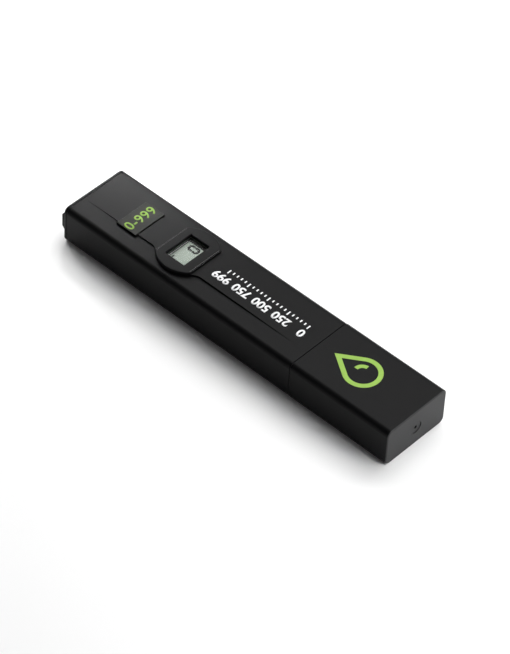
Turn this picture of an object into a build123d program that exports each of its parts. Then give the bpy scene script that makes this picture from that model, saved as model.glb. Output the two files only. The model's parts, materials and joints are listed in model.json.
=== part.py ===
from build123d import *
import os

# Pocket dissolved-solids meter, lying on its back with the display up and its cap on.
# X runs along the pen from the switch end to the cap, Y across it, Z up through the display.
# The origin is the middle of the whole length and width, on the face that the pen rests on.

# Case: outer sizes, walls and seams
pen_length = 150.0  # end plate's outer face to the cap's end face
pen_width = 29.2
pen_height = 15.5  # resting face to display face, beside the raised strip
edge_radius = 2.2
wall = 1.6
least_radius = 0.4  # smallest inside corner of a moulded section
plate_thickness = 1.3
end_fillet = 0.5
seam_chamfer = 0.15
root = 0.5  # depth to which raised forms and ribs are sunk into a wall

# Cap and the nose that it pushes onto
cap_length = 44.0
cap_wall = 1.5
cap_end_wall = 1.8
cap_proud = 0.1  # cap over body, at the sides and the top
cap_fit = 0.15  # clearance all round between nose and cap
cap_seam = 0.15  # open seam between cap rim and body shoulder
nose_length = 16.0
nose_wall = 1.4
vent_diameter = 1.3
dimple_diameter = 5.0
dimple_depth = 0.3

# Raised strip along the display face: a shallow arch that fades out at both ends
strip_width = 12.0
strip_start = 3.0  # from the end plate's outer face
strip_front_gap = 5.0  # strip's front end to the seam
strip_rise = 0.65

# Round display bezel, cut off by two straight chords
bezel_from_back = 45.4
bezel_diameter = 22.6
bezel_length = 16.4  # chord to chord, along the pen
bezel_rise = 1.5
bezel_flare = 4.0  # concave fillet from bezel to strip
bezel_fillet = 0.4

# Display window and lens
window_from_back = 45.1
window_length = 8.6
window_width = 12.6
window_chamfer = 0.2
window_lip = 0.8  # how far the lens reaches under the opening's edge
recess_depth = 1.25  # bezel top down to the lens
lens_thickness = 0.8
lens_gap = 0.15  # lens to liquid crystal glass
pocket_fit = 0.1
glass_fit = 0.2  # display glass in the shell's pocket

# Liquid crystal display
glass_length = 11.2
glass_width = 15.6
glass_thickness = 1.5
reflector_thickness = 0.2
frame_wall = 1.4
connector_width = 1.8

# Label plate on its pad
label_from_back = 22.8
label_length = 9.0
label_width = 14.5
label_pad_rise = 0.55
label_thickness = 0.35
label_fillet = 0.15

# Circuit board in its rails
board_thickness = 1.2
board_side_gap = 0.3
board_fit = 0.1  # to the rails above and below
rail_depth = 1.3
rail_thickness = 1.0
board_end_gap = 0.5
board_back_gap = 1.0  # drawer's rear wall to the board
front_tongue_width = 16.0

# Button cells and the drawer that holds them
cell_gap = 0.35  # cell to the case above and below, which leaves room for 11.6 mm cells
cell_height = 5.4
cell_count = 4
cell_step = 0.7  # height of each cell's raised cap
cell_rim = 1.2  # width of the shoulder round that cap
cell_fit = 0.1
drawer_side = 1.3  # thinnest part of the drawer beside a cell
drawer_front = 2.1
drawer_rear = 1.5
drawer_fit = 0.2
drawer_slack = 0.4  # drawer sides to the case, above and below
contact_thickness = 0.3
contact_hole_diameter = 6.0
bay_wall = 0.9
arm_width = 3.0
pull_width = 7.0
pull_height = 2.4
pull_depth = 0.9

# Sheet-metal contacts on the board
side_contact_from_back = 20.0
side_contact_length = 4.0
wiper_fit = 0.2
leaf_gap = 0.1  # side contact's leaf to the drawer
wiper_rise = 2.0
wiper_foot = 3.0
spring_foot = 4.0

# Slide switch and its knob
knob_proud = 2.2
knob_width = 6.5
knob_height = 8.8
knob_top_height = 5.3
knob_slope_depth = 1.4
knob_gap = 0.1  # knob over the end plate
knob_grooves = 3
knob_groove_width = 0.6
knob_groove_depth = 0.4
stem_height = 2.4
slot_fit = 0.25
switch_length = 6.0
switch_side_gap = 0.1  # case's side wall to the switch
switch_bay_gap = 1.0  # switch to the partition
switch_wall = 1.2  # beside the slot that the stem slides in
switch_height = 4.8
stem_reach = 2.0  # how far the stem enters the switch
rim_depth = 2.0  # end plate's rim inside the case
rim_wall = 0.9
rim_fit = 0.1
switch_gap = 0.2  # rim to switch
terminal_count = 3
terminal_width = 0.6
terminal_thickness = 0.4
terminal_length = 2.4

# Calibration trimmer, turned through a hole in the back face
trimmer_from_back = 72.0
trimmer_offset = 5.0
trimmer_size = 6.0
trimmer_gap = 1.05  # case's back wall to the trimmer
screw_diameter = 3.0
screw_fit = 0.05
screw_length = 2.0
screw_stand_out = 0.3
screw_slot = 0.6
screw_slot_depth = 0.7
access_diameter = 3.6

# Chips on the board
chip_size = 9.0
chip_height = 1.7
chip_from_back = 56.0
leg_count = 8
leg_width = 0.5
leg_length = 1.2
leg_thickness = 0.25
part_length = 2.0
part_width = 1.25
part_height = 0.7
part_pitch = 4.0
part_rows = 2
part_columns = 5
parts_offset = 3.95  # towards the cap, from the middle of the free board

# Probe: block, gasket, electrodes and temperature sensor
plug_length = 10.0
plug_fit = 0.05
gasket_thickness = 0.8
gasket_width = 1.2
flange_thickness = 1.6
pin_diameter = 2.4
pin_spacing = 10.0
pin_reach = 13.0  # out of the flange
pin_tip_fillet = 1.0
tail_diameter = 1.0
tail_length = 8.0  # behind the plug, lying on the board
sensor_diameter = 3.0
sensor_reach = 10.0
sensor_tip_fillet = 1.3
bore_fit = 0.02

# Stations along the pen
back_x = (knob_proud - pen_length) / 2
shell_back_x = back_x + plate_thickness
cap_end_x = back_x + pen_length
seam_x = cap_end_x - cap_length
nose_tip_x = seam_x + nose_length
cavity_end_x = seam_x - wall
bezel_x = back_x + bezel_from_back
window_x = back_x + window_from_back
label_x = back_x + label_from_back
side_contact_x = back_x + side_contact_from_back
trimmer_x = back_x + trimmer_from_back
strip_start_x = back_x + strip_start
strip_end_x = seam_x - strip_front_gap

# Levels
mid_z = pen_height / 2
bezel_top_z = pen_height + bezel_rise
lens_top_z = bezel_top_z - recess_depth
lens_bottom_z = lens_top_z - lens_thickness
glass_top_z = lens_bottom_z - lens_gap
glass_bottom_z = glass_top_z - glass_thickness
ceiling_z = pen_height - wall
board_top_z = mid_z - tail_diameter / 2
board_bottom_z = board_top_z - board_thickness
trimmer_height = board_bottom_z - wall - trimmer_gap
screw_z = wall + trimmer_gap - screw_stand_out

# Sections
cavity_width = pen_width - 2 * wall
cavity_height = pen_height - 2 * wall
cavity_radius = max(edge_radius - wall, least_radius)
cap_bore_width = pen_width - 2 * cap_wall
cap_bore_height = pen_height - 2 * cap_wall
cap_bore_radius = max(edge_radius - cap_wall, least_radius)
nose_width = cap_bore_width - 2 * cap_fit
nose_height = cap_bore_height - 2 * cap_fit
nose_bore_width = nose_width - 2 * nose_wall
nose_bore_height = nose_height - 2 * nose_wall

# Battery drawer
cell_diameter = cavity_height - 2 * cell_gap
drawer_width = cell_diameter + 2 * drawer_side
drawer_height = cavity_height - 2 * drawer_slack
drawer_y = cavity_width / 2 - drawer_fit - drawer_width / 2
drawer_left_y = drawer_y - drawer_width / 2
stack_x = back_x + drawer_front + contact_thickness
stack_end_x = stack_x + cell_count * cell_height
drawer_end_x = stack_end_x + cell_fit + drawer_rear

# Partition between the battery bay and the switch bay
partition_right_y = drawer_left_y - drawer_fit
partition_left_y = partition_right_y - bay_wall
partition_end_x = drawer_end_x
bay_width = partition_left_y + cavity_width / 2
bay_y = partition_left_y - bay_width / 2

# Switch, which fills its bay, and its knob, drawn switched on
switch_x = shell_back_x + rim_depth + switch_gap
switch_end_x = switch_x + switch_length
switch_left_y = switch_side_gap - cavity_width / 2
switch_right_y = partition_left_y - switch_bay_gap
switch_width = switch_right_y - switch_left_y
slot_y = (switch_left_y + switch_right_y) / 2
slot_width = switch_width - 2 * switch_wall
slot_height = stem_height + 2 * slot_fit
knob_travel = slot_width / 2
stem_width = slot_width - knob_travel - 2 * slot_fit
knob_y = slot_y - knob_travel / 2
terminal_pitch = switch_width / (terminal_count + 1)
knob_face_x = back_x - knob_gap

# Board
board_x = drawer_end_x + board_back_gap
board_width = cavity_width - 2 * board_side_gap
board_front_x = cavity_end_x - board_end_gap
plug_back_x = nose_tip_x + gasket_thickness - plug_length
front_tongue_x = plug_back_x - board_end_gap
back_tongue_left_y = -board_width / 2
back_tongue_right_y = partition_left_y - board_side_gap
rail_start_x = board_x + rail_thickness
frame_front_x = window_x + glass_length / 2 + pocket_fit + frame_wall
parts_x = (frame_front_x + board_front_x) / 2 + parts_offset

# Probe
gasket_x = nose_tip_x
flange_x = gasket_x + gasket_thickness
flange_face_x = flange_x + flange_thickness


def across(x, y=0.0):
    """The plane across the pen at x, facing the cap, centred on the section."""
    return Plane(origin=(x, y, mid_z), x_dir=(0, 1, 0), z_dir=(1, 0, 0))


def level(z, x=0.0, y=0.0):
    """The horizontal plane at height z, centred over a point."""
    return Plane(origin=(x, y, z), x_dir=(1, 0, 0), z_dir=(0, 0, 1))


os.makedirs("parts", exist_ok=True)

# Body shell: moulded tube with the nose, the raised strip, label pad and display bezel
with BuildPart() as body_shell:
    with BuildSketch(across(shell_back_x)):
        RectangleRounded(pen_width, pen_height, edge_radius)
    extrude(amount=seam_x - shell_back_x)
    chamfer(body_shell.edges().group_by(Axis.X)[0], seam_chamfer)
    chamfer(body_shell.edges().group_by(Axis.X)[-1], seam_chamfer)
    with BuildSketch(across(seam_x - root)):
        RectangleRounded(nose_width, nose_height, cap_bore_radius)
    extrude(amount=nose_tip_x - seam_x + root)
    # strip and bezel foot, in plan, with a concave flare where they meet
    with BuildSketch(level(pen_height - root)) as strip_plan:
        with Locations(((strip_start_x + strip_end_x) / 2, 0)):
            Rectangle(strip_end_x - strip_start_x, strip_width)
        with Locations((bezel_x, 0)):
            Circle(bezel_diameter / 2)
        near_bezel = strip_plan.vertices().filter_by(
            lambda corner: abs(corner.X - bezel_x) < bezel_diameter / 2
        )
        fillet(near_bezel, bezel_flare)
    extrude(amount=root + strip_rise)
    # everything above the arch comes off, so that the strip fades into the wall
    with BuildSketch(Plane.XZ):
        with BuildLine():
            ThreePointArc(
                (strip_start_x, pen_height),
                ((strip_start_x + strip_end_x) / 2, pen_height + strip_rise),
                (strip_end_x, pen_height),
            )
            Polyline(
                (strip_end_x, pen_height),
                (strip_end_x, bezel_top_z + strip_rise),
                (strip_start_x, bezel_top_z + strip_rise),
                (strip_start_x, pen_height),
            )
        make_face()
    extrude(amount=pen_width / 2, both=True, mode=Mode.SUBTRACT)
    with BuildSketch(level(pen_height - root, label_x)):
        Rectangle(label_length, label_width)
    extrude(amount=root + label_pad_rise)
    with BuildSketch(level(pen_height - root, bezel_x)):
        Circle(bezel_diameter / 2)
        Rectangle(bezel_length, bezel_diameter, mode=Mode.INTERSECT)
    extrude(amount=root + bezel_rise)
    fillet(body_shell.edges().group_by(Axis.Z)[-1], bezel_fillet)
    # window, with pockets from inside for the lens and the display glass
    with BuildSketch(level(bezel_top_z, window_x)):
        Rectangle(window_length, window_width)
    extrude(amount=-bezel_rise - wall, mode=Mode.SUBTRACT)
    chamfer(body_shell.faces().sort_by(Axis.Z)[-1].inner_wires().edges(), window_chamfer)
    # inside of the tube and the nose
    with BuildSketch(across(shell_back_x)):
        RectangleRounded(cavity_width, cavity_height, cavity_radius)
    extrude(amount=cavity_end_x - shell_back_x, mode=Mode.SUBTRACT)
    with BuildSketch(across(cavity_end_x)):
        RectangleRounded(nose_bore_width, nose_bore_height, least_radius)
    extrude(amount=nose_tip_x - cavity_end_x, mode=Mode.SUBTRACT)
    with BuildSketch(level(ceiling_z - root, window_x)):
        Rectangle(
            window_length + 2 * (window_lip + pocket_fit),
            window_width + 2 * (window_lip + pocket_fit),
        )
    extrude(amount=lens_top_z - ceiling_z + root, mode=Mode.SUBTRACT)
    with BuildSketch(level(ceiling_z - root, window_x)):
        Rectangle(glass_length + 2 * glass_fit, glass_width + 2 * glass_fit)
    extrude(amount=lens_bottom_z - ceiling_z + root, mode=Mode.SUBTRACT)
    # partition beside the battery bay, with a gap that the side contact reaches through
    with BuildSketch(across(shell_back_x, (partition_left_y + partition_right_y) / 2)):
        Rectangle(bay_wall, cavity_height + 2 * root)
    extrude(amount=partition_end_x - shell_back_x)
    with BuildSketch(level(board_top_z, side_contact_x, (partition_left_y + partition_right_y) / 2)):
        Rectangle(side_contact_length + 2 * wiper_fit, bay_wall + 2 * wiper_fit)
    extrude(amount=wiper_rise + 2 * wiper_fit, mode=Mode.SUBTRACT)
    # rails that the board slides along, above and below its edges
    for side in (-1, 1):
        rail_y = side * (cavity_width - rail_depth + root) / 2
        for rail_z in (board_top_z + board_fit, board_bottom_z - board_fit - rail_thickness):
            with BuildSketch(level(rail_z, (rail_start_x + cavity_end_x) / 2, rail_y)):
                Rectangle(cavity_end_x - rail_start_x, rail_depth + root)
            extrude(amount=rail_thickness)
    # screwdriver hole under the trimmer
    with BuildSketch(level(0, trimmer_x, trimmer_offset)):
        Circle(access_diameter / 2)
    extrude(amount=wall, mode=Mode.SUBTRACT)
body_shell.part.label = "body_shell"
export_step(body_shell.part, "parts/body_shell.step")

# End plate with its rim, the knob's slot and the drawer's opening
with BuildPart() as end_plate:
    with BuildSketch(across(back_x)):
        RectangleRounded(pen_width, pen_height, edge_radius)
    extrude(amount=plate_thickness)
    fillet(end_plate.edges().group_by(Axis.X)[0], end_fillet)
    chamfer(end_plate.edges().group_by(Axis.X)[-1], seam_chamfer)
    with BuildSketch(across(shell_back_x, bay_y)):
        RectangleRounded(bay_width - 2 * rim_fit, cavity_height - 2 * rim_fit, cavity_radius)
        offset(amount=-rim_wall, mode=Mode.SUBTRACT)
    extrude(amount=rim_depth)
    with BuildSketch(across(back_x, drawer_y)):
        Rectangle(drawer_width + 2 * drawer_fit, cavity_height)
    extrude(amount=plate_thickness + rim_depth, mode=Mode.SUBTRACT)
    with BuildSketch(across(back_x, slot_y)):
        Rectangle(slot_width, slot_height)
    extrude(amount=plate_thickness, mode=Mode.SUBTRACT)
end_plate.part.label = "end_plate"
export_step(end_plate.part, "parts/end_plate.step")

# Switch knob: sloped pad with finger grooves, on a stem that enters the switch
with BuildPart() as switch_knob:
    with BuildSketch(Plane.XZ.offset(-knob_y)):
        with BuildLine():
            Polyline(
                (knob_face_x, mid_z - knob_height / 2),
                (back_x - knob_proud + knob_slope_depth, mid_z - knob_height / 2),
                (back_x - knob_proud, mid_z - knob_top_height / 2),
                (back_x - knob_proud, mid_z + knob_top_height / 2),
                (back_x - knob_proud + knob_slope_depth, mid_z + knob_height / 2),
                (knob_face_x, mid_z + knob_height / 2),
                close=True,
            )
        make_face()
    extrude(amount=knob_width / 2, both=True)
    groove_pitch = knob_width / (knob_grooves + 1)
    with BuildSketch(across(back_x - knob_proud, knob_y)):
        with GridLocations(groove_pitch, 0, knob_grooves, 1):
            Rectangle(knob_groove_width, knob_height)
    extrude(amount=knob_groove_depth, mode=Mode.SUBTRACT)
    with BuildSketch(across(knob_face_x, knob_y)):
        Rectangle(stem_width, stem_height)
    extrude(amount=switch_x + stem_reach - knob_face_x)
switch_knob.part.label = "switch_knob"
export_step(switch_knob.part, "parts/switch_knob.step")

# Slide switch at the edge of the board's back tongue, with its three terminals
with BuildPart() as switch_body:
    with BuildSketch(across(switch_x, slot_y)):
        Rectangle(switch_width, switch_height)
    extrude(amount=switch_length)
    chamfer(switch_body.edges().filter_by(Axis.X), seam_chamfer)
    with BuildSketch(across(switch_x, slot_y)):
        Rectangle(slot_width, slot_height)
    extrude(amount=stem_reach + slot_fit, mode=Mode.SUBTRACT)
switch_body.part.label = "switch_body"
export_step(switch_body.part, "parts/switch_body.step")

with BuildPart() as switch_terminals:
    with BuildSketch(level(board_top_z, switch_end_x + terminal_length / 2, slot_y)):
        with GridLocations(0, terminal_pitch, 1, terminal_count):
            Rectangle(terminal_length, terminal_width)
    extrude(amount=terminal_thickness)
switch_terminals.part.label = "switch_terminals"
export_step(switch_terminals.part, "parts/switch_terminals.step")

# Circuit board: main area, a back tongue beside the battery bay, a front tongue into the nose
with BuildPart() as circuit_board:
    with BuildSketch(level(board_bottom_z)):
        with Locations(((board_x + board_front_x) / 2, 0)):
            Rectangle(board_front_x - board_x, board_width)
        with Locations(((switch_end_x + board_x) / 2, (back_tongue_left_y + back_tongue_right_y) / 2)):
            Rectangle(board_x - switch_end_x, back_tongue_right_y - back_tongue_left_y)
        with Locations(((board_front_x + front_tongue_x) / 2, 0)):
            Rectangle(front_tongue_x - board_front_x, front_tongue_width)
    extrude(amount=board_thickness)
circuit_board.part.label = "circuit_board"
export_step(circuit_board.part, "parts/circuit_board.step")

# Button cells: each has a raised cap on the end that faces the drawer's front
for place in range(cell_count):
    cell_x = stack_x + place * cell_height
    with BuildPart() as button_cell:
        with BuildSketch(across(cell_x, drawer_y)):
            Circle(cell_diameter / 2 - cell_rim)
        extrude(amount=cell_step)
        with BuildSketch(across(cell_x + cell_step, drawer_y)):
            Circle(cell_diameter / 2)
        extrude(amount=cell_height - cell_step)
    button_cell.part.label = f"button_cell_{place + 1}"
    export_step(button_cell.part, f"parts/button_cell_{place + 1}.step")

# Battery drawer: front with a fingernail pull, two side rails and a rear wall
with BuildPart() as battery_drawer:
    with BuildSketch(across(back_x, drawer_y)):
        Rectangle(drawer_width, cavity_height - 2 * drawer_fit)
    extrude(amount=drawer_front)
    with BuildSketch(across(back_x + drawer_front, drawer_y)):
        Rectangle(drawer_width, drawer_height)
    extrude(amount=drawer_end_x - back_x - drawer_front)
    with BuildSketch(across(back_x + drawer_front, drawer_y)):
        Circle(cell_diameter / 2 + cell_fit)
    extrude(amount=stack_end_x + cell_fit - back_x - drawer_front, mode=Mode.SUBTRACT)
    with BuildSketch(across(drawer_end_x - drawer_rear, drawer_y)):
        Circle(contact_hole_diameter / 2)
    extrude(amount=drawer_rear, mode=Mode.SUBTRACT)
    # seat for the contact strip: across behind the front, then along the outside of one rail
    with BuildSketch(across(back_x + drawer_front, (drawer_y + drawer_left_y) / 2)):
        Rectangle(drawer_width / 2, arm_width + 2 * cell_fit)
    extrude(amount=contact_thickness, mode=Mode.SUBTRACT)
    with BuildSketch(across(back_x + drawer_front, drawer_left_y + contact_thickness / 2)):
        Rectangle(contact_thickness, arm_width + 2 * cell_fit)
    extrude(amount=drawer_end_x - back_x - drawer_front, mode=Mode.SUBTRACT)
    with BuildSketch(across(back_x, drawer_y)):
        SlotOverall(pull_width, pull_height)
    extrude(amount=pull_depth, mode=Mode.SUBTRACT)
battery_drawer.part.label = "battery_drawer"
export_step(battery_drawer.part, "parts/battery_drawer.step")

with BuildPart() as drawer_contact:
    with BuildSketch(across(back_x + drawer_front, drawer_y)):
        Circle(cell_diameter / 2 - cell_rim)
        with Locations((-drawer_width / 4, 0)):
            Rectangle(drawer_width / 2, arm_width)
    extrude(amount=contact_thickness)
    with BuildSketch(across(back_x + drawer_front, drawer_left_y + contact_thickness / 2)):
        Rectangle(contact_thickness, arm_width)
    extrude(amount=drawer_end_x - back_x - drawer_front)
drawer_contact.part.label = "drawer_contact"
export_step(drawer_contact.part, "parts/drawer_contact.step")

# Side contact: foot on the back tongue, leaf through the partition to the drawer's strip
with BuildPart() as side_contact:
    with BuildSketch(Plane.YZ.offset(side_contact_x)):
        with BuildLine():
            Polyline(
                (back_tongue_right_y - wiper_foot, board_top_z + contact_thickness / 2),
                (back_tongue_right_y, board_top_z + contact_thickness / 2),
                (partition_left_y - wiper_fit, board_top_z + wiper_rise),
                (drawer_left_y - leaf_gap - contact_thickness / 2, mid_z + wiper_fit),
            )
        trace(line_width=contact_thickness)
    extrude(amount=side_contact_length / 2, both=True)
side_contact.part.label = "side_contact"
export_step(side_contact.part, "parts/side_contact.step")

# Battery spring: foot on the board, leaf through the drawer's rear wall to the last cell
with BuildPart() as battery_spring:
    with BuildSketch(Plane.XZ.offset(-drawer_y)):
        with BuildLine():
            Polyline(
                (board_x + spring_foot, board_top_z + contact_thickness / 2),
                (board_x, board_top_z + contact_thickness / 2),
                (drawer_end_x + wiper_fit, board_top_z + wiper_rise),
                (stack_end_x + contact_thickness, mid_z + wiper_fit),
                (drawer_end_x - drawer_rear / 2, mid_z - contact_thickness),
            )
        trace(line_width=contact_thickness)
    extrude(amount=arm_width / 2, both=True)
battery_spring.part.label = "battery_spring"
export_step(battery_spring.part, "parts/battery_spring.step")

# Display stack: lens, glass, reflector, two connector strips and the frame round them
with BuildPart() as window_lens:
    with BuildSketch(level(lens_bottom_z, window_x)):
        Rectangle(window_length + 2 * window_lip, window_width + 2 * window_lip)
    extrude(amount=lens_thickness)
window_lens.part.label = "window_lens"
export_step(window_lens.part, "parts/window_lens.step")

with BuildPart() as display_glass:
    with BuildSketch(level(glass_bottom_z, window_x)):
        Rectangle(glass_length, glass_width)
    extrude(amount=glass_thickness)
display_glass.part.label = "display_glass"
export_step(display_glass.part, "parts/display_glass.step")

with BuildPart() as display_reflector:
    with BuildSketch(level(glass_bottom_z, window_x)):
        Rectangle(glass_length, glass_width - 2 * (connector_width + pocket_fit))
    extrude(amount=-reflector_thickness)
display_reflector.part.label = "display_reflector"
export_step(display_reflector.part, "parts/display_reflector.step")

for number, side in enumerate((-1, 1), start=1):
    with BuildPart() as connector_strip:
        with BuildSketch(level(board_top_z, window_x, side * (glass_width - connector_width) / 2)):
            Rectangle(glass_length, connector_width)
        extrude(amount=glass_bottom_z - board_top_z)
    connector_strip.part.label = f"connector_strip_{number}"
    export_step(connector_strip.part, f"parts/connector_strip_{number}.step")

with BuildPart() as display_frame:
    with BuildSketch(level(board_top_z, window_x)):
        Rectangle(glass_length + 2 * (frame_wall + pocket_fit), glass_width + 2 * (frame_wall + pocket_fit))
        Rectangle(glass_length + 2 * pocket_fit, glass_width + 2 * pocket_fit, mode=Mode.SUBTRACT)
    extrude(amount=ceiling_z - pocket_fit - board_top_z)
    chamfer(display_frame.edges().filter_by(Axis.Z).group_by(Axis.Y)[0], seam_chamfer)
    chamfer(display_frame.edges().filter_by(Axis.Z).group_by(Axis.Y)[-1], seam_chamfer)
display_frame.part.label = "display_frame"
export_step(display_frame.part, "parts/display_frame.step")

# Label plate on its pad
with BuildPart() as label_plate:
    with BuildSketch(level(pen_height + label_pad_rise, label_x)):
        Rectangle(label_length, label_width)
    extrude(amount=label_thickness)
    fillet(label_plate.edges().group_by(Axis.Z)[-1], label_fillet)
label_plate.part.label = "label_plate"
export_step(label_plate.part, "parts/label_plate.step")

# Trimmer under the board, and the slotted screw that turns in it
with BuildPart() as trimmer_body:
    with BuildSketch(level(board_bottom_z - trimmer_height, trimmer_x, trimmer_offset)):
        Rectangle(trimmer_size, trimmer_size)
    extrude(amount=trimmer_height)
    chamfer(trimmer_body.edges().filter_by(Axis.Z), seam_chamfer)
    with BuildSketch(level(screw_z, trimmer_x, trimmer_offset)):
        Circle(screw_diameter / 2 + screw_fit)
    extrude(amount=screw_length + screw_fit, mode=Mode.SUBTRACT)
trimmer_body.part.label = "trimmer_body"
export_step(trimmer_body.part, "parts/trimmer_body.step")

with BuildPart() as trimmer_screw:
    with BuildSketch(level(screw_z, trimmer_x, trimmer_offset)):
        Circle(screw_diameter / 2)
    extrude(amount=screw_length)
    with BuildSketch(level(screw_z, trimmer_x, trimmer_offset)):
        Rectangle(screw_diameter, screw_slot)
    extrude(amount=screw_slot_depth, mode=Mode.SUBTRACT)
trimmer_screw.part.label = "trimmer_screw"
export_step(trimmer_screw.part, "parts/trimmer_screw.step")

# Controller chip under the board, with a row of legs along two sides
with BuildPart() as controller_chip:
    with BuildSketch(level(board_bottom_z, back_x + chip_from_back)):
        Rectangle(chip_size, chip_size)
    extrude(amount=-chip_height)
    chamfer(controller_chip.edges().filter_by(Axis.Z), seam_chamfer)
    with BuildSketch(level(board_bottom_z, back_x + chip_from_back)):
        with GridLocations(chip_size / leg_count, chip_size + leg_length, leg_count, 2):
            Rectangle(leg_width, leg_length)
    extrude(amount=-leg_thickness)
controller_chip.part.label = "controller_chip"
export_step(controller_chip.part, "parts/controller_chip.step")

with BuildPart() as board_components:
    with BuildSketch(level(board_top_z, parts_x)):
        with GridLocations(part_pitch, part_pitch, part_columns, part_rows):
            Rectangle(part_length, part_width)
    extrude(amount=part_height)
    chamfer(board_components.edges().group_by(Axis.Z)[-1], seam_chamfer)
board_components.part.label = "board_components"
export_step(board_components.part, "parts/board_components.step")

# Probe block: a plug in the nose bore behind a flange, bored for the pins and the sensor
with BuildPart() as probe_block:
    with BuildSketch(across(plug_back_x)):
        RectangleRounded(nose_bore_width - 2 * plug_fit, nose_bore_height - 2 * plug_fit, least_radius)
    extrude(amount=plug_length)
    with BuildSketch(across(flange_x)):
        RectangleRounded(nose_width, nose_height, cap_bore_radius)
    extrude(amount=flange_thickness)
    fillet(probe_block.edges().group_by(Axis.X)[-1], end_fillet)
    with BuildSketch(across(plug_back_x)):
        with GridLocations(pin_spacing, 0, 2, 1):
            Circle(pin_diameter / 2 + bore_fit)
        Circle(sensor_diameter / 2 + bore_fit)
    extrude(amount=flange_face_x - plug_back_x, mode=Mode.SUBTRACT)
probe_block.part.label = "probe_block"
export_step(probe_block.part, "parts/probe_block.step")

with BuildPart() as nose_gasket:
    with BuildSketch(across(gasket_x)):
        RectangleRounded(nose_width, nose_height, cap_bore_radius)
        offset(amount=-gasket_width, mode=Mode.SUBTRACT)
    extrude(amount=gasket_thickness)
nose_gasket.part.label = "nose_gasket"
export_step(nose_gasket.part, "parts/nose_gasket.step")

for number, side in enumerate((-1, 1), start=1):
    with BuildPart() as electrode_pin:
        with BuildSketch(across(plug_back_x, side * pin_spacing / 2)):
            Circle(pin_diameter / 2)
        extrude(amount=flange_face_x + pin_reach - plug_back_x)
        fillet(electrode_pin.edges().group_by(Axis.X)[-1], pin_tip_fillet)
        with BuildSketch(across(plug_back_x, side * pin_spacing / 2)):
            Circle(tail_diameter / 2)
        extrude(amount=-tail_length)
    electrode_pin.part.label = f"electrode_pin_{number}"
    export_step(electrode_pin.part, f"parts/electrode_pin_{number}.step")

with BuildPart() as temperature_sensor:
    with BuildSketch(across(plug_back_x)):
        Circle(sensor_diameter / 2)
    extrude(amount=flange_face_x + sensor_reach - plug_back_x)
    fillet(temperature_sensor.edges().group_by(Axis.X)[-1], sensor_tip_fillet)
    with BuildSketch(across(plug_back_x)):
        Circle(tail_diameter / 2)
    extrude(amount=-tail_length)
temperature_sensor.part.label = "temperature_sensor"
export_step(temperature_sensor.part, "parts/temperature_sensor.step")

# Protective cap: deep box that pushes onto the nose, with a vent in its end face
with BuildPart() as protective_cap:
    with BuildSketch(level(0)):
        with Locations(((seam_x + cap_seam + cap_end_x) / 2, 0)):
            Rectangle(cap_end_x - seam_x - cap_seam, pen_width + 2 * cap_proud)
    extrude(amount=pen_height + cap_proud)
    fillet(protective_cap.edges().filter_by(Axis.X), edge_radius)
    fillet(protective_cap.edges().group_by(Axis.X)[-1], end_fillet)
    chamfer(protective_cap.edges().group_by(Axis.X)[0], seam_chamfer)
    with BuildSketch(across(seam_x)):
        RectangleRounded(cap_bore_width, cap_bore_height, cap_bore_radius)
    extrude(amount=cap_length - cap_end_wall, mode=Mode.SUBTRACT)
    with BuildSketch(across(cap_end_x)):
        Circle(dimple_diameter / 2)
    extrude(amount=-dimple_depth, mode=Mode.SUBTRACT)
    with BuildSketch(across(cap_end_x)):
        Circle(vent_diameter / 2)
    extrude(amount=-cap_end_wall, mode=Mode.SUBTRACT)
protective_cap.part.label = "protective_cap"
export_step(protective_cap.part, "parts/protective_cap.step")
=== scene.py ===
import json
import math

import bpy
from mathutils import Matrix, Vector


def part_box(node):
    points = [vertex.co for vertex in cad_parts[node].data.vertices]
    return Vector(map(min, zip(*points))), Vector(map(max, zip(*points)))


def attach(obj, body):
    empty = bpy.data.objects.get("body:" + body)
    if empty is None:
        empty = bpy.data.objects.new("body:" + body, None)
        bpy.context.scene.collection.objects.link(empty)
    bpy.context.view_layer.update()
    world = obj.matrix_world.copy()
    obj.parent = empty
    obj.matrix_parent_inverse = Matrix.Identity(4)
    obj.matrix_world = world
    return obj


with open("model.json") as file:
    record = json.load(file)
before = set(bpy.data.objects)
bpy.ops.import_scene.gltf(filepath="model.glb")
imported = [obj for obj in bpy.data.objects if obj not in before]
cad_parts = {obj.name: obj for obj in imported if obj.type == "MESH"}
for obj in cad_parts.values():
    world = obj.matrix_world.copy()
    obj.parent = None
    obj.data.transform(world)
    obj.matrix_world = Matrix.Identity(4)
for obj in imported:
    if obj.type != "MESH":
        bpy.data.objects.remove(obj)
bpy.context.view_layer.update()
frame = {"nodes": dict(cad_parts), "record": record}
bpy.ops.object.select_all(action="DESELECT")
nodes = frame["nodes"]
mm = 0.001
print("frame loaded:", len(nodes), "nodes")


# the camera stands where the photograph was taken from
cameraLook = {
    "aim": (6.37, -3.31, 7.0),  # mm, what the middle of the picture shows
    "distance": 1240.5,
    "heading": 130.31,  # degrees round from +X
    "fall": 45.42,  # degrees below the horizon
    "roll": -3.61,
    "lens": 201.34,
    "sensor": 36.0,
    "clip": (0.05, 50.0),  # metres
}


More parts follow.
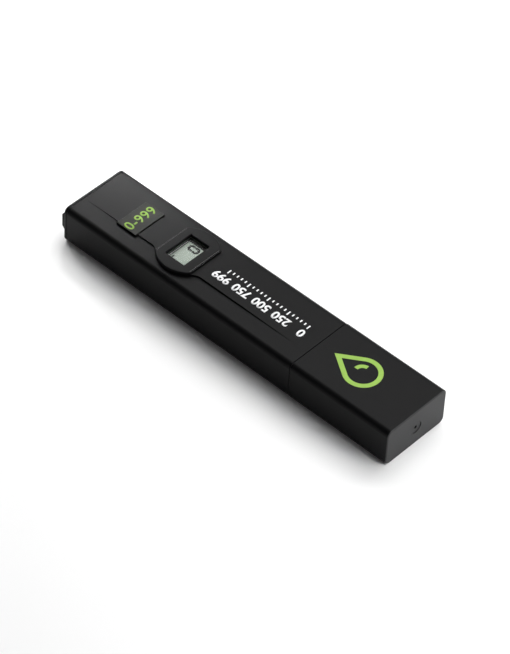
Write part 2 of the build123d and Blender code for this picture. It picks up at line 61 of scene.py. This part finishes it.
def addCamera(look):
    heading, fall, roll = (math.radians(look[key]) for key in ("heading", "fall", "roll"))
    flat = Vector((math.cos(heading), math.sin(heading), 0))
    ahead = flat * math.cos(fall) - Vector((0, 0, math.sin(fall)))
    level = ahead.cross(Vector((0, 0, 1))).normalized()
    below = ahead.cross(level)
    right = level * math.cos(roll) + below * math.sin(roll)
    down = below * math.cos(roll) - level * math.sin(roll)
    place = (Vector(look["aim"]) - ahead * look["distance"]) * mm
    turn = Matrix((right, -down, -ahead)).transposed()
    bpy.ops.object.camera_add(location=place, rotation=turn.to_euler())
    camera = bpy.context.object
    camera.name = "photoCamera"
    camera.data.lens = look["lens"]
    camera.data.sensor_width = look["sensor"]
    camera.data.clip_start, camera.data.clip_end = look["clip"]
    bpy.context.scene.camera = camera


class Shade:
    # one output of a shader node; sums and products of these add Math nodes
    def __init__(self, tree, socket=None):
        self.tree = tree
        self.socket = socket

    # any node: its settings come first, then the values or links of its sockets
    def node(self, kind, settings, sockets, output=0):
        made = self.tree.nodes.new("ShaderNode" + kind)
        for name, value in settings.items():
            if name == "stops":
                setStops(made.color_ramp, value)
            else:
                setattr(made, name, value)
        for name, value in sockets.items():
            if isinstance(value, Shade):
                self.tree.links.new(value.socket, made.inputs[name])
            else:
                made.inputs[name].default_value = value
        return Shade(self.tree, made.outputs[output] if made.outputs else None)

    def maths(self, operation, first, second):
        return self.node("Math", {"operation": operation}, {0: first, 1: second})

    def __add__(self, other):
        return self.maths("ADD", self, other)

    def __mul__(self, other):
        return self.maths("MULTIPLY", self, other)

    __radd__ = __add__
    __rmul__ = __mul__


def setStops(ramp, stops):
    while len(ramp.elements) < len(stops):
        ramp.elements.new(1.0)
    for element, (position, colour) in zip(ramp.elements, stops):
        element.position = position
        element.color = (*colour, 1.0)


# an empty finish, with the place on the piece that its patterns read
def newFinish(name):
    finish = bpy.data.materials.new(name)
    finish.use_nodes = True
    finish.node_tree.nodes.clear()
    shade = Shade(finish.node_tree)
    return finish, shade, shade.node("TexCoord", {}, {}, "Object")


def close(finish, shade, sockets):
    surface = shade.node("BsdfPrincipled", {}, sockets)
    shade.node("OutputMaterial", {}, {"Surface": surface})
    return finish


def noise(shade, place, scale, detail=2.0):
    return shade.node("TexNoise", {}, {"Vector": place, "Scale": scale, "Detail": detail})


def bumps(shade, height, strength, depth):
    return shade.node("Bump", {}, {"Strength": strength, "Distance": depth * mm, "Height": height})


def opaque(colour):
    return colour if isinstance(colour, Shade) else (*colour, 1.0)


# each colour is three values, or another blend
def blendColours(shade, factor, first, second):
    sockets = {0: factor, 6: opaque(first), 7: opaque(second)}  # a Mix node's colours are 6, 7 and output 2
    return shade.node("Mix", {"data_type": "RGBA"}, sockets, output=2)


# spark-eroded moulded plastic: a fine grain, and slow changes in its gloss
def mouldedPlastic(name, look):
    finish, shade, place = newFinish(name)
    grain = noise(shade, place, look["grainScale"], detail=3.0)
    patches = noise(shade, place, look["patchScale"], detail=4.0)
    mottle = patches * look["patchShare"] + grain * (1 - look["patchShare"])
    colour = blendColours(shade, mottle, look["dark"], look["light"])
    if "paintedLightFrom" in look:  # painted light: the end face is made paler, standing in for the bright floor that it reflects
        along = shade.node("SeparateXYZ", {}, {"Vector": place}, "X")
        pale = along.maths("GREATER_THAN", along, look["paintedLightFrom"])
        colour = blendColours(shade, pale, colour, look["pale"])
    sockets = {
        "Base Color": colour,
        "Roughness": patches * look["roughSpread"] + (look["rough"] - look["roughSpread"] / 2),
        "Normal": bumps(shade, grain, look["grain"], look["grainDepth"]),
        "Specular IOR Level": look["gloss"],
    }
    return close(finish, shade, sockets)


# painted print: flat colour with a little mottle where the ink is thin
def ink(name, look):
    finish, shade, place = newFinish(name)
    mottle = noise(shade, place, look["scale"])
    sockets = {
        "Base Color": blendColours(shade, mottle, look["thin"], look["full"]),
        "Roughness": mottle * look["roughSpread"] + look["rough"],
        "Normal": bumps(shade, mottle, look["relief"], look["depth"]),
        "Specular IOR Level": look["gloss"],
    }
    return close(finish, shade, sockets)


# metal with a directional brush or turning along one axis
def metal(name, look):
    finish, shade, place = newFinish(name)
    stretched = shade.node("Mapping", {}, {"Vector": place, "Scale": look["brush"]})
    lines = noise(shade, stretched, 1.0, detail=5.0)
    sockets = {
        "Base Color": blendColours(shade, lines, look["dark"], look["light"]),
        "Metallic": 1.0,
        "Roughness": lines * look["roughSpread"] + look["rough"],
        "Normal": bumps(shade, lines, look["relief"], look["depth"]),
    }
    return close(finish, shade, sockets)


def clearWindow(name, look):
    finish, shade, place = newFinish(name)
    haze = noise(shade, place, look["hazeScale"], detail=3.0)
    sockets = {
        "Base Color": (*look["tint"], 1.0),
        "Roughness": haze * look["roughSpread"] + look["rough"],
        "Alpha": haze * look["hazeSpread"] + look["haze"],
        "IOR": look["refraction"],
    }
    return close(finish, shade, sockets)


# liquid crystal glass: pale green-grey over a fine reflector grain
def displayFace(name, look):
    finish, shade, place = newFinish(name)
    grain = noise(shade, place, look["grainScale"])
    sockets = {
        "Base Color": blendColours(shade, grain, look["dark"], look["light"]),
        "Roughness": grain * look["roughSpread"] + look["rough"],
    }
    return close(finish, shade, sockets)


def boardFace(name, look):
    finish, shade, place = newFinish(name)
    pattern = {"Vector": place, "Scale": look["trackScale"], "Mortar Size": look["trackGap"]}
    tracks = shade.node("TexBrick", {}, pattern, "Fac")
    sockets = {
        "Base Color": blendColours(shade, tracks, look["dark"], look["light"]),
        "Roughness": tracks * look["roughSpread"] + look["rough"],
        "Normal": bumps(shade, tracks, look["relief"], look["depth"]),
        "Coat Weight": look["coat"],
    }
    return close(finish, shade, sockets)


# black plastic as on the case; depths of grain and relief are in mm, and patterns repeat per metre
caseLook = {
    "dark": (0.0018, 0.0018, 0.0020),
    "light": (0.0030, 0.0030, 0.0033),
    "grainScale": 5200.0,
    "patchScale": 90.0,
    "patchShare": 0.6,
    "rough": 0.42,
    "roughSpread": 0.06,
    "grain": 0.35,
    "grainDepth": 0.02,
    "gloss": 0.085,
}
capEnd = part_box("protective_cap")[1].x
paintedLightBand = 0.35  # mm at the cap's end, painted paler as reflected light
plasticLooks = {  # where each plastic differs from the case's
    "casePlastic": {},
    "capPlasticPaintedEnd": {"paintedLightFrom": capEnd - paintedLightBand * mm, "pale": (0.042, 0.042, 0.043)},
    # painted highlight: the pale grey of the lines on the bezel's edges
    "paintedHighlightPlastic": {"dark": (0.20, 0.20, 0.20), "light": (0.26, 0.26, 0.26)},
    "knobPlastic": {"rough": 0.34, "grain": 0.2},
    "labelPlastic": {
        "dark": (0.0042, 0.0046, 0.0022),
        "light": (0.006, 0.0066, 0.0034),
        "rough": 0.36,
        "grain": 0.15,
    },
    "probePlastic": {"dark": (0.02, 0.02, 0.02), "light": (0.03, 0.03, 0.03)},
    "framePlastic": {"dark": (0.08, 0.08, 0.08), "light": (0.11, 0.11, 0.11)},
    "chipPlastic": {"rough": 0.5},
    "rubber": {"dark": (0.012, 0.012, 0.012), "light": (0.02, 0.02, 0.02), "rough": 0.7},
    "trimmerPlastic": {"dark": (0.01, 0.07, 0.3), "light": (0.015, 0.1, 0.38), "rough": 0.35},
    "ceramic": {"dark": (0.25, 0.18, 0.1), "light": (0.35, 0.27, 0.16), "rough": 0.3},
}
inkLook = {
    "scale": 900.0,
    "rough": 0.4,
    "roughSpread": 0.1,
    "relief": 0.15,
    "depth": 0.01,
    "gloss": 0.2,
}
inkColours = {
    "whiteInk": {"thin": (0.8, 0.81, 0.82), "full": (0.93, 0.93, 0.93)},
    "greenInk": {"thin": (0.24, 0.42, 0.06), "full": (0.29, 0.48, 0.08)},
    "maskAndShadowInk": {"thin": (0.03, 0.033, 0.03), "full": (0.024, 0.026, 0.024)},
    "displayInk": {"thin": (0.008, 0.01, 0.008), "full": (0.004, 0.006, 0.004)},
}
metalLook = {"roughSpread": 0.15, "relief": 0.2, "depth": 0.01}
metalColours = {
    "steel": {
        "brush": (300.0, 9000.0, 9000.0),
        "dark": (0.5, 0.5, 0.51),
        "light": (0.66, 0.66, 0.67),
        "rough": 0.22,
    },
    "brightSteel": {
        "brush": (4000.0, 600.0, 600.0),
        "dark": (0.66, 0.66, 0.66),
        "light": (0.8, 0.8, 0.8),
        "rough": 0.12,
    },
    "brass": {
        "brush": (5000.0, 900.0, 900.0),
        "dark": (0.58, 0.4, 0.16),
        "light": (0.75, 0.55, 0.25),
        "rough": 0.2,
    },
}
windowLook = {
    "tint": (0.02, 0.022, 0.02),
    "hazeScale": 600.0,
    "haze": 0.05,
    "hazeSpread": 0.04,
    "rough": 0.03,
    "roughSpread": 0.06,
    "refraction": 1.49,
}
displayLook = {
    "dark": (0.27, 0.34, 0.27),
    "light": (0.33, 0.40, 0.33),
    "grainScale": 2600.0,
    "rough": 0.3,
    "roughSpread": 0.1,
}
boardLook = {
    "dark": (0.006, 0.09, 0.035),
    "light": (0.01, 0.14, 0.055),
    "trackScale": 400.0,
    "trackGap": 0.08,
    "rough": 0.3,
    "roughSpread": 0.1,
    "relief": 0.4,
    "depth": 0.03,
    "coat": 0.3,
}

finishes = {}
for name, look in plasticLooks.items():
    finishes[name] = mouldedPlastic(name, {**caseLook, **look})
for name, look in inkColours.items():
    finishes[name] = ink(name, {**inkLook, **look})
for name, look in metalColours.items():
    finishes[name] = metal(name, {**metalLook, **look})
finishes["clearWindow"] = clearWindow("clearWindow", windowLook)
finishes["displayFace"] = displayFace("displayFace", displayLook)
finishes["boardFace"] = boardFace("boardFace", boardLook)
print("finishes made:", len(finishes))

slotFinishes = {
    "case_plastic": "casePlastic",
    "knob_plastic": "knobPlastic",
    "label_plate": "labelPlastic",
    "window": "clearWindow",
    "display": "displayFace",
    "reflector": "brightSteel",
    "elastomer": "rubber",
    "frame_plastic": "framePlastic",
    "board": "boardFace",
    "chip": "chipPlastic",
    "ceramic_parts": "ceramic",
    "trimmer_plastic": "trimmerPlastic",
    "brass": "brass",
    "steel": "steel",
    "cell_steel": "brightSteel",
    "probe_plastic": "probePlastic",
    "gasket": "rubber",
}
for row in frame["record"]["subparts"]:
    mesh = nodes[row["node"]].data
    mesh.materials.clear()
    mesh.materials.append(finishes[slotFinishes[row["material_slot"]]])
# the cap's finish has its end face painted paler, standing in for reflected light
nodes["protective_cap"].data.materials[0] = finishes["capPlasticPaintedEnd"]
print("nodes dressed")


floorLook = {
    "size": 20.0,  # metres
    "under": 0.03,  # mm below the part's resting face
    "cloudScale": 3.0,
    "dark": (0.9, 0.9, 0.9),
    "light": (0.92, 0.92, 0.92),
    "rough": 0.9,
}


def addFloor(look):
    bpy.ops.mesh.primitive_plane_add(size=look["size"], location=(0, 0, -look["under"] * mm))
    floor = bpy.context.object
    floor.name = "floor"
    finish, shade, place = newFinish("paleFloor")
    cloud = noise(shade, place, look["cloudScale"])
    colour = blendColours(shade, cloud, look["dark"], look["light"])
    sockets = {"Base Color": colour, "Roughness": look["rough"], "Specular IOR Level": 0.0}
    floor.data.materials.append(close(finish, shade, sockets))
    bpy.ops.object.select_all(action="DESELECT")


worldLook = {  # dark above, with a pale rim at the horizon
    "stops": [
        (0.0, (0.9, 0.9, 0.9)),
        (0.04, (0.8, 0.8, 0.8)),
        (0.09, (0.02, 0.02, 0.02)),
        (1.0, (0.0, 0.0, 0.0)),
    ],
    "strength": 1.0,
}


def setWorld(look):
    world = bpy.context.scene.world or bpy.data.worlds.new("studio")
    bpy.context.scene.world = world
    world.use_nodes = True
    world.node_tree.nodes.clear()
    shade = Shade(world.node_tree)
    toward = shade.node("TexCoord", {}, {}, "Generated")
    height = shade.node("SeparateXYZ", {}, {"Vector": toward}, "Z")
    sky = shade.node("ValToRGB", {"stops": look["stops"]}, {"Fac": height})
    glow = shade.node("Background", {}, {"Color": sky, "Strength": look["strength"]})
    shade.node("OutputWorld", {}, {"Surface": glow})


# studio lights: turn round from +X and height in degrees, the rest in metres, power in watts
boxLook = {"distance": 1.8, "size": 0.9, "aim": (0, 0, 0)}
lights = {
    "backBox": {**boxLook, "turn": 90, "height": 40, "power": 13.7},
    "backTopBox": {**boxLook, "turn": 118, "height": 58, "power": 8.5},
    "rightTopBox": {**boxLook, "turn": 30, "height": 60, "power": 11.0},
    "leftBox": {**boxLook, "turn": 150, "height": 30, "power": 14.5},
    "frontBox": {**boxLook, "turn": -50, "height": 42, "power": 1.6},
    "rightLow": {
        "turn": 9,
        "height": 37,
        "distance": 0.233,
        "size": 0.1,
        "power": 0.29,
        "aim": (0.076, 0, 0),
    },
    "leftLow": {
        "turn": 172,
        "height": 31,
        "distance": 0.205,
        "size": 0.1,
        "power": 0.20,
        "aim": (-0.074, 0.0145, 0.0155),
    },
    "accent": {
        "beam": 5.3,  # degrees; this makes it a spot light
        "turn": 131,
        "height": 44,
        "distance": 1.0,
        "size": 0.03,
        "power": 47.0,
        "aim": (-0.094, 0.050, 0.0155),
    },
}


def addLight(name, look):
    turn, height = (math.radians(look[key]) for key in ("turn", "height"))
    flat = Vector((math.cos(turn), math.sin(turn), 0))
    away = flat * math.cos(height) + Vector((0, 0, math.sin(height)))
    place = Vector(look["aim"]) + away * look["distance"]
    facing = away.to_track_quat("Z", "Y").to_euler()
    kind = "SPOT" if "beam" in look else "AREA"
    bpy.ops.object.light_add(type=kind, location=place, rotation=facing)
    light = bpy.context.object
    light.name = name
    light.visible_camera = False
    light.data.energy = look["power"]
    if kind == "SPOT":
        light.data.spot_size = math.radians(look["beam"])
        light.data.spot_blend = 1.0
        light.data.shadow_soft_size = look["size"]
    else:
        light.data.shape = "SQUARE"
        light.data.size = look["size"]


addCamera(cameraLook)
addFloor(floorLook)
setWorld(worldLook)
for name, look in lights.items():
    addLight(name, look)
bpy.context.scene.view_settings.view_transform = "Standard"
print("camera, floor and lights placed")


def activate(piece):
    bpy.ops.object.select_all(action="DESELECT")
    piece.select_set(True)
    bpy.context.view_layer.objects.active = piece


def joinPieces(pieces):
    bpy.ops.object.select_all(action="DESELECT")
    for piece in pieces:
        piece.select_set(True)
    bpy.context.view_layer.objects.active = pieces[0]
    bpy.ops.object.join()
    return bpy.context.object


# the new flat piece goes to its place, in mm, and its mesh takes that place up
def settle(piece, centre, turn=0.0):
    piece.rotation_euler = (0, 0, math.radians(turn))
    piece.location = (centre[0] * mm, centre[1] * mm, 0)
    bpy.ops.object.transform_apply(location=True, rotation=True, scale=True)
    return piece


# plain figures, made a flat mesh
def addFigures(words, look, centre):
    bpy.ops.object.text_add()
    text = bpy.context.object
    text.data.body = words
    text.data.size = look["size"] * mm
    text.data.offset = look["weight"] * mm
    text.data.space_character = look["spacing"]
    text.data.align_x = "CENTER"
    text.data.align_y = "CENTER"
    text.data.resolution_u = 6  # steps along each curve
    bpy.ops.object.convert(target="MESH")
    return settle(bpy.context.object, centre, look["reads"])


def addBar(length, width, centre, turn=0.0):
    bpy.ops.mesh.primitive_plane_add(size=1.0)
    bar = bpy.context.object
    bar.scale = (length * mm, width * mm, 1)
    return settle(bar, centre, turn)


printThickness = 0.03  # mm
castHeight = 5.0  # mm over the carrier, where the flat shape starts


# a flat shape is laid on a CAD node: each point drops onto the surface under it
def layOn(piece, carrier, lift):
    surface = nodes[carrier]
    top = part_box(carrier)[1].z + castHeight * mm
    for point in piece.data.vertices:
        spot = surface.ray_cast((point.co.x, point.co.y, top), (0, 0, -1))[1]
        point.co.z = spot.z + lift * mm


def thicken(piece):
    skin = piece.modifiers.new("thickness", "SOLIDIFY")
    skin.thickness = printThickness * mm
    skin.offset = -1
    activate(piece)
    bpy.ops.object.modifier_apply(modifier=skin.name)


def finishPiece(piece, look):
    layOn(piece, look["carrier"], look["lift"])
    thicken(piece)
    piece.name = look["name"]
    piece.data.name = look["name"]
    piece.data.materials.clear()
    piece.data.materials.append(finishes[look["finish"]])
    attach(piece, look["body"])
    bpy.ops.object.select_all(action="DESELECT")


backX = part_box("end_plate")[0].x / mm
labelLow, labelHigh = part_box("label_plate")
labelCentre = ((labelLow.x + labelHigh.x) / 2 / mm, 0.0)

# in these, lift is mm over the carrier, and lengths along the pen start at the end plate
rangeLook = {
    "name": "range_figures",
    "carrier": "label_plate",
    "body": "pen_body",
    "slot": "label_plate",
    "finish": "greenInk",
    "lift": 0.03,
    "words": "0-999",
    "size": 5.6,
    "weight": 0.06,
    "spacing": 1.06,
    "reads": 90,  # degrees round from +X
}
finishPiece(addFigures(rangeLook["words"], rangeLook, labelCentre), rangeLook)

scaleLook = {
    "name": "strip_scale",
    "carrier": "body_shell",
    "body": "pen_body",
    "slot": "case_plastic",
    "finish": "whiteInk",
    "lift": 0.03,
    "from": 58.0,
    "to": 102.5,
    "inset": 4.0,  # from each end to the middle of its number
    "numbers": ("0", "250", "500", "750", "999"),
    "size": 4.9,
    "weight": 0.13,
    "spacing": 1.0,
    "reads": 180,
    "tickWidth": 0.5,
    "longTick": 1.9,
    "shortTick": 1.1,
    "steps": 5,  # short divisions between two numbers
    "numbersY": -0.75,
    "ticksY": 3.9,
}


def addScale(look):
    parts = []
    first = backX + look["to"] - look["inset"]
    last = backX + look["from"] + look["inset"]
    count = len(look["numbers"]) - 1
    for place, words in enumerate(look["numbers"]):
        x = first + (last - first) * place / count
        parts.append(addFigures(words, look, (x, look["numbersY"])))
    for mark in range(count * look["steps"] + 1):
        x = first + (last - first) * mark / (count * look["steps"])
        length = look["shortTick"] if mark % look["steps"] else look["longTick"]
        parts.append(addBar(look["tickWidth"], length, (x, look["ticksY"] - length / 2)))
    return joinPieces(parts)


finishPiece(addScale(scaleLook), scaleLook)

dropLook = {
    "name": "drop_outline",
    "carrier": "protective_cap",
    "body": "protective_cap",
    "slot": "case_plastic",
    "finish": "greenInk",
    "lift": 0.03,
    "centre": (125.4, 0.2),  # along, and across from the middle
    "radius": 7.0,
    "reach": 12.6,  # from the round part's centre to the tip
    "stroke": 1.75,
    "points": 120,
    "glintRadius": 3.6,
    "glintStroke": 1.5,
    "glintTurn": (95, 185),  # where the inner arc starts and ends, in degrees
}


# an outline gets its inner edge, a smaller copy about its own centre
def widenBand(band, share):
    bpy.ops.object.mode_set(mode="EDIT")
    bpy.ops.mesh.select_all(action="SELECT")
    bpy.ops.mesh.extrude_region_move()
    bpy.ops.transform.resize(value=(share, share, 1), center_override=(0, 0, 0))
    bpy.ops.object.mode_set(mode="OBJECT")


def addCircle(radius, points):
    bpy.ops.mesh.primitive_circle_add(vertices=points, radius=radius * mm, fill_type="NOTHING")
    return bpy.context.object


# the drop's short inner arc: a circle that loses its points outside the two turns
def addGlint(look, centre):
    band = addCircle(look["glintRadius"], look["points"])
    low, high = (math.radians(turn) for turn in look["glintTurn"])
    bpy.ops.object.mode_set(mode="EDIT")
    bpy.ops.mesh.select_all(action="DESELECT")
    bpy.ops.object.mode_set(mode="OBJECT")
    for point in band.data.vertices:
        turn = math.atan2(point.co.y, point.co.x) % (2 * math.pi)
        point.select = not low <= turn <= high
    bpy.ops.object.mode_set(mode="EDIT")
    bpy.ops.mesh.delete(type="VERT")
    widenBand(band, 1 - look["glintStroke"] / look["glintRadius"])
    return settle(band, centre)


# a water drop in outline, its tip towards the switch end
def addDrop(look):
    centre = (backX + look["centre"][0], look["centre"][1])
    drop = addCircle(look["radius"], look["points"])
    meets = math.acos(look["radius"] / look["reach"])  # where the straight sides meet the round
    for point in drop.data.vertices:
        fromTip = abs(math.atan2(point.co.y, -point.co.x))
        if fromTip < meets:
            point.co *= 1 / math.cos(meets - fromTip)
    widenBand(drop, 1 - look["stroke"] / look["radius"])
    return joinPieces([settle(drop, centre), addGlint(look, centre)])


finishPiece(addDrop(dropLook), dropLook)

noughtLook = {
    "name": "display_nought",
    "carrier": "display_glass",
    "body": "pen_body",
    "slot": "display",
    "finish": "displayInk",
    "lift": 0.03,
    "centre": (45.2, 3.1),  # along, and across from the middle
    "height": 4.8,
    "width": 3.0,
    "stroke": 0.95,
    "gap": 0.05,
    "corner": 0.3,  # cut off each corner, as a share of the stroke
}


# a bar with pointed ends
def addSegment(length, look, centre, turn):
    bar = addBar(length, look["stroke"], centre, turn)
    activate(bar)
    bpy.ops.object.mode_set(mode="EDIT")
    bpy.ops.mesh.select_all(action="SELECT")
    bpy.ops.mesh.bevel(offset=look["stroke"] * look["corner"] * mm, affect="VERTICES", segments=1)
    bpy.ops.object.mode_set(mode="OBJECT")
    return bar


# the display's nought, made of six bars
def addNought(look):
    x = backX + look["centre"][0]
    y = look["centre"][1]
    half = (look["height"] - look["stroke"]) / 2
    side = (look["width"] - look["stroke"]) / 2
    long = half - look["gap"]
    wide = 2 * side - look["gap"]
    parts = [addSegment(wide, look, (x + end * half, y), 90) for end in (-1, 1)]
    for end in (-1, 1):
        for flank in (-1, 1):
            parts.append(addSegment(long, look, (x + end * half / 2, y + flank * side), 0))
    return joinPieces(parts)


finishPiece(addNought(noughtLook), noughtLook)

# the display's dark print; its far band is also painted shadow cast by the window's far wall
maskLook = {
    "name": "display_mask_and_shadow",
    "carrier": "display_glass",
    "body": "pen_body",
    "slot": "display",
    "finish": "maskAndShadowInk",
    "lift": 0.03,
    "back": (40.4, 41.4),  # the printed band along the back edge
    "far": (5.0, 6.6),  # and along the far edge, across from the middle: partly print, partly painted shadow of the window's far wall
    "reach": 6.6,  # half the back band's length
    "to": 49.6,  # where the far band ends
    "cornerMark": (1.5, 0.55),  # its length and width
    "cornerPlace": (0.9, 2.2),  # from the back band, and from that band's near end
}


def addDisplayMask(look):
    backLow, backHigh = (backX + x for x in look["back"])
    farLow, farHigh = look["far"]
    along = ((backLow + backHigh) / 2, 0.0)
    across = ((backLow + backX + look["to"]) / 2, (farLow + farHigh) / 2)
    corner = (backHigh + look["cornerPlace"][0], -look["reach"] + look["cornerPlace"][1])
    bands = [
        addBar(backHigh - backLow, 2 * look["reach"], along),
        addBar(backX + look["to"] - backLow, farHigh - farLow, across),
        addBar(*look["cornerMark"], corner, 90),
    ]
    return joinPieces(bands)


finishPiece(addDisplayMask(maskLook), maskLook)

tickLook = {
    "name": "display_ticks",
    "carrier": "display_glass",
    "body": "pen_body",
    "slot": "display",
    "finish": "whiteInk",
    "lift": 0.06,  # over the mask
    "tick": (0.5, 0.28),  # its length and width
    "pitch": 0.7,
    "margin": 1.6,  # left free at each end of the mask's back band
    "shift": 0.4,  # towards the near edge
}


def addDisplayTicks(look, mask):
    x = backX + sum(mask["back"]) / 2
    count = int(2 * (mask["reach"] - look["margin"]) / look["pitch"])
    ticks = []
    for step in range(count + 1):
        y = (step - count / 2) * look["pitch"] - look["shift"]
        ticks.append(addBar(*look["tick"], (x, y)))
    return joinPieces(ticks)


finishPiece(addDisplayTicks(tickLook, maskLook), tickLook)
print("prints laid on")

bezelHighlightLook = {  # painted highlights: two pale lines on the bezel's two straight edges, standing in for the light their rounded edges catch
    "name": "bezel_highlight_lines",
    "carrier": "body_shell",
    "body": "pen_body",
    "slot": "case_plastic",
    "finish": "paintedHighlightPlastic",
    "lift": 0.015,
    "width": 0.5,
    "length": 14.8,  # across the pen
    "middle": 45.4,  # the bezel's middle
    "half": 8.2,  # from there to each straight edge
    "in": 0.32,  # from the edge back to the line's middle
}


def addBezelHighlights(look):
    places = [backX + look["middle"] + side * (look["half"] - look["in"]) for side in (-1, 1)]
    return joinPieces([addBar(look["width"], look["length"], (x, 0.0)) for x in places])


finishPiece(addBezelHighlights(bezelHighlightLook), bezelHighlightLook)
print("bezel edges laid on")

print("scene ready")
